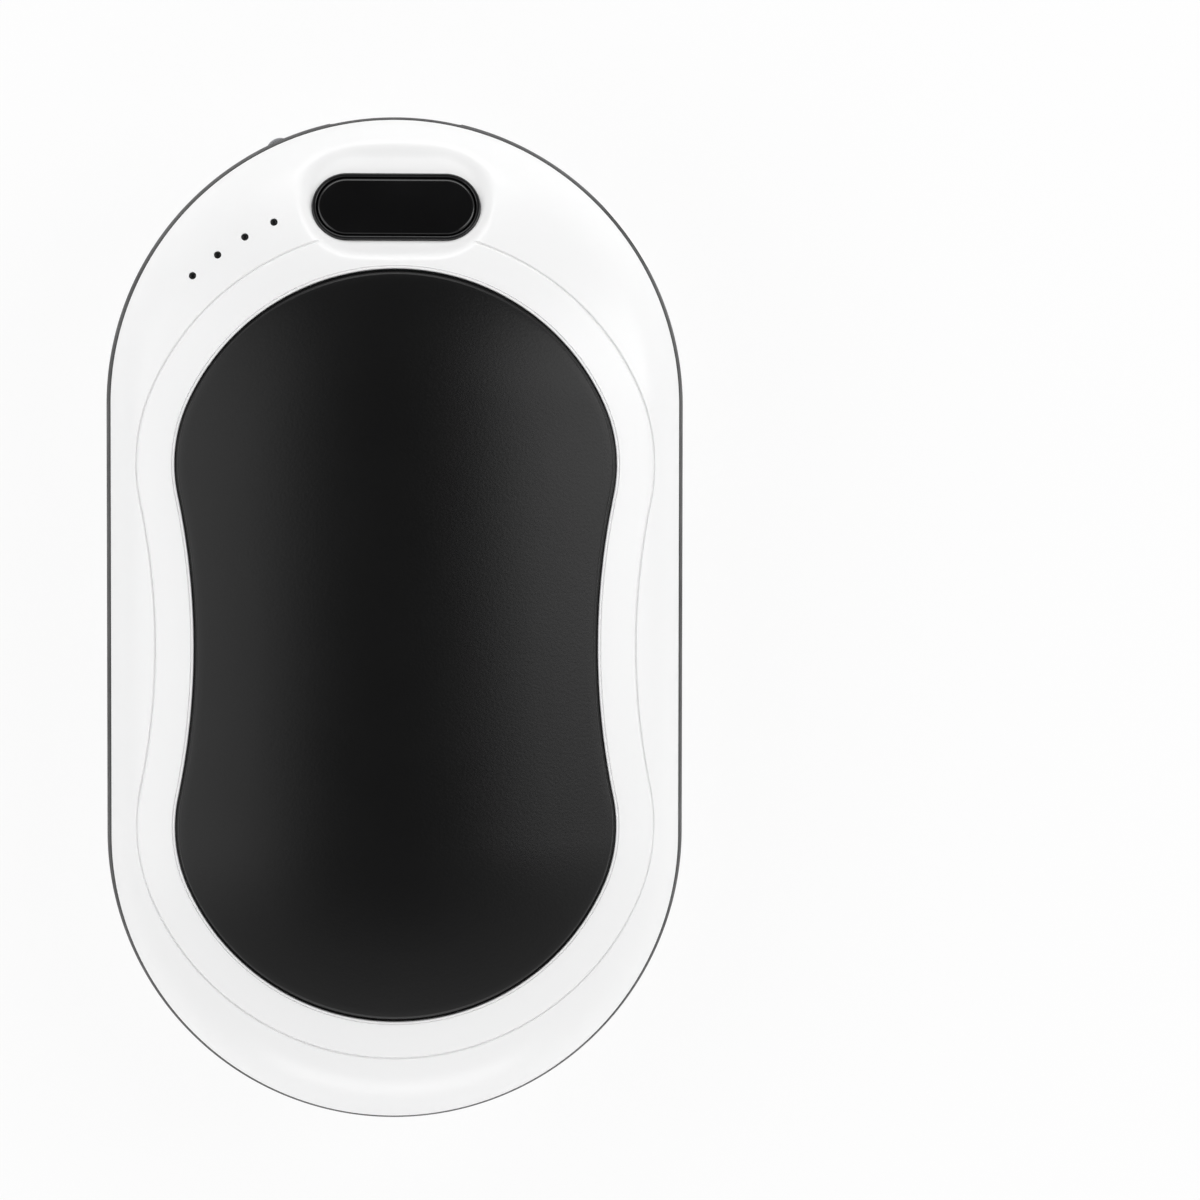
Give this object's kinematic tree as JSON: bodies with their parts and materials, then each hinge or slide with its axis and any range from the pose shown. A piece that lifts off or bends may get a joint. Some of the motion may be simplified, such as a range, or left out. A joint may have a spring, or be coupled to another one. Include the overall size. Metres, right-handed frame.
{
  "type": "rechargeable hand warmer",
  "caption": "Pocket hand warmer: crowned white shells round a black band, hourglass heat plates, a power button, indicator lights, a torch lamp, and output and charging sockets.",
  "frame": {"origin": "bottom centre of the bounding box, on the plane of the flat patch of the back heat plate on which the warmer lies", "axes": "+X across the width, towards the charging socket's side; +Y along the length, towards the button and the output socket; +Z out of the front face, along the thickness"},
  "size_m": [0.0586, 0.1017, 0.0308],
  "materials": {
    "shell_white": "glossy white moulded plastic",
    "band_black": "glossy black moulded plastic",
    "plate_dark": "fine satin dark anodised aluminium",
    "film": "clear amber heater film",
    "foam": "matt closed-cell foam",
    "inner_plastic": "matt moulded plastic",
    "cell_wrap": "glossy shrink wrap",
    "nickel": "plain nickel-plated steel",
    "lead_red": "smooth insulated wire",
    "lead_white": "smooth insulated wire",
    "sensor": "coated sensor bead",
    "board": "satin green circuit board",
    "chip_black": "matt moulded electronics",
    "button_black": "semi-gloss black plastic",
    "surround_black": "glossy black plastic",
    "led_yellow": "clear epoxy over a pale chip",
    "light_guide": "clear smoked plastic",
    "lamp": "clear epoxy lens",
    "socket_metal": "plain nickel-plated steel",
    "tongue_black": "matt black plastic",
    "contact_gold": "gold-plated contacts",
    "screw_steel": "dark zinc-plated steel"
  },
  "bodies": {
    "housing": {"front_shell": "shell_white", "back_shell": "shell_white", "middle_band": "band_black", "front_heat_plate": "plate_dark", "back_heat_plate": "plate_dark", "front_heating_film": "film", "back_heating_film": "film", "front_foam_pad": "foam", "back_foam_pad": "foam", "battery_cradle": "inner_plastic", "battery_cell_left": "cell_wrap", "battery_cell_right": "cell_wrap", "cell_strip_top": "nickel", "cell_strip_bottom": "nickel", "battery_leads": "lead_red", "heater_leads": "lead_white", "heater_thermistor": "sensor", "circuit_board": "board", "control_chips": "chip_black", "boost_inductor": "chip_black", "switch_body": "nickel", "button_surround": "surround_black", "indicator_leds": "led_yellow", "indicator_light_guide": "light_guide", "torch_led": "lamp", "usb_a_shell": "socket_metal", "usb_a_tongue": "tongue_black", "usb_a_contacts": "contact_gold", "micro_usb_shell": "socket_metal", "micro_usb_tongue": "tongue_black", "micro_usb_contacts": "contact_gold", "case_screws": "screw_steel"},
    "power_button": {"power_button": "button_black", "switch_plunger": "button_black"}
  },
  "joints": [
    {"name": "power_button_press", "type": "slide", "parent": "housing", "child": "power_button", "axis": [0, -0.2504, -0.9681], "range_m": [0, 0.0004], "stiffness_N_per_m": 4000}
  ]
}
